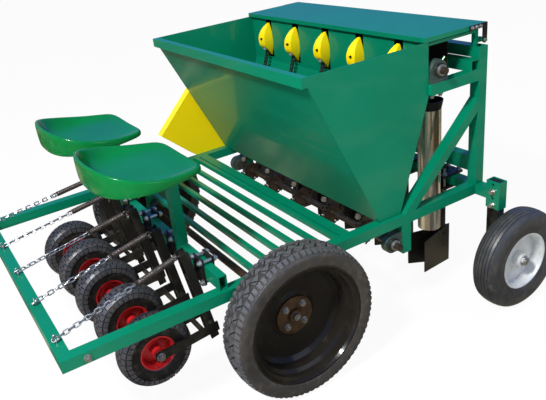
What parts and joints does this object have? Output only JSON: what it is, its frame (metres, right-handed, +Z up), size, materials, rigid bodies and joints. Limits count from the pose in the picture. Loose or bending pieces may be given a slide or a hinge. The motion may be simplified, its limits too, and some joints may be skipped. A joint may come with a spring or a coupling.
{
  "type": "garlic planter",
  "caption": "Mounted garlic planter with a hopper, cup-chain elevators, sowing tubes, openers, press wheels and two seats.",
  "frame": {"origin": "centre of the footprint at ground level", "axes": "+X forward towards the tractor, +Y left, +Z up"},
  "size_m": [1.869, 1.636, 1.0578],
  "materials": {
    "green_paint": "gloss",
    "seat_green": "gloss moulded",
    "yellow_paint": "gloss",
    "tyre": "moulded rubber",
    "black_paint": "satin",
    "red_paint": "gloss",
    "galvanised": "galvanised",
    "stainless": "rolled",
    "zinc": "zinc plated",
    "spring_steel": "dull",
    "cast_grey": "cast",
    "chain_steel": "oiled"
  },
  "bodies": {
    "frame": {"side_rails": "green_paint", "rear_crossbar": "green_paint", "step_crossbar": "green_paint", "footboard_slats": "green_paint", "opener_toolbar": "green_paint", "front_posts": "green_paint", "upper_rails": "green_paint", "diagonal_braces": "green_paint", "bearing_posts": "green_paint", "front_crossbars": "green_paint", "hitch_lugs": "green_paint", "hitch_pins": "zinc", "top_link_ears": "green_paint", "axle_hangers": "green_paint", "axle_bearings": "cast_grey", "gauge_legs": "black_paint", "gauge_sleeves": "green_paint", "press_legs": "black_paint", "press_forks": "black_paint", "press_axles": "zinc", "press_brackets": "black_paint", "arm_springs": "spring_steel", "arm_chains": "zinc", "press_toolbar": "green_paint", "seat_posts": "green_paint", "seats": "seat_green", "hopper": "green_paint", "chain_hoods": "yellow_paint", "lid_frame": "green_paint", "cup_chains": "chain_steel", "elevator_shafts": "zinc", "shaft_bearings": "cast_grey", "drop_tubes": "stainless", "tube_funnels": "black_paint", "opener_shanks": "black_paint", "opener_clamps": "black_paint", "opener_shoes": "black_paint", "chain_guard": "yellow_paint"},
    "drive_wheels": {"drive_axle": "zinc", "drive_hubs": "black_paint", "drive_rims": "black_paint", "drive_tyres": "tyre"},
    "gauge_wheel_right": {"gauge_tyre_right": "tyre", "gauge_rim_right": "galvanised"},
    "gauge_wheel_left": {"gauge_tyre_left": "tyre", "gauge_rim_left": "galvanised"},
    "press_wheel_1": {"press_tyre_1": "tyre", "press_rim_1": "red_paint"},
    "press_wheel_2": {"press_tyre_2": "tyre", "press_rim_2": "red_paint"},
    "press_wheel_3": {"press_tyre_3": "tyre", "press_rim_3": "red_paint"},
    "press_wheel_4": {"press_tyre_4": "tyre", "press_rim_4": "red_paint"},
    "press_wheel_5": {"press_tyre_5": "tyre", "press_rim_5": "red_paint"},
    "lid": {"lid": "green_paint", "lid_arms": "black_paint"}
  },
  "joints": [
    {"name": "drive_axle_spin", "type": "hinge", "parent": "frame", "child": "drive_wheels", "pos_m": [-0.1745, 0, 0.273], "axis": [0, 1, 0], "continuous": true},
    {"name": "gauge_wheel_right_spin", "type": "hinge", "parent": "frame", "child": "gauge_wheel_right", "pos_m": [0.7375, -0.768, 0.197], "axis": [0, 1, 0], "continuous": true},
    {"name": "gauge_wheel_left_spin", "type": "hinge", "parent": "frame", "child": "gauge_wheel_left", "pos_m": [0.7375, 0.768, 0.197], "axis": [0, 1, 0], "continuous": true},
    {"name": "press_wheel_1_spin", "type": "hinge", "parent": "frame", "child": "press_wheel_1", "pos_m": [-0.6195, -0.44, 0.251], "axis": [0, 1, 0], "continuous": true},
    {"name": "press_wheel_2_spin", "type": "hinge", "parent": "frame", "child": "press_wheel_2", "pos_m": [-0.6195, -0.22, 0.251], "axis": [0, 1, 0], "continuous": true},
    {"name": "press_wheel_3_spin", "type": "hinge", "parent": "frame", "child": "press_wheel_3", "pos_m": [-0.6195, 0, 0.251], "axis": [0, 1, 0], "continuous": true},
    {"name": "press_wheel_4_spin", "type": "hinge", "parent": "frame", "child": "press_wheel_4", "pos_m": [-0.6195, 0.22, 0.251], "axis": [0, 1, 0], "continuous": true},
    {"name": "press_wheel_5_spin", "type": "hinge", "parent": "frame", "child": "press_wheel_5", "pos_m": [-0.6195, 0.44, 0.251], "axis": [0, 1, 0], "continuous": true},
    {"name": "lid_hinge", "type": "hinge", "parent": "frame", "child": "lid", "pos_m": [0.7555, 0, 0.9958], "axis": [0, 1, 0], "range_deg": [0, 100]}
  ]
}
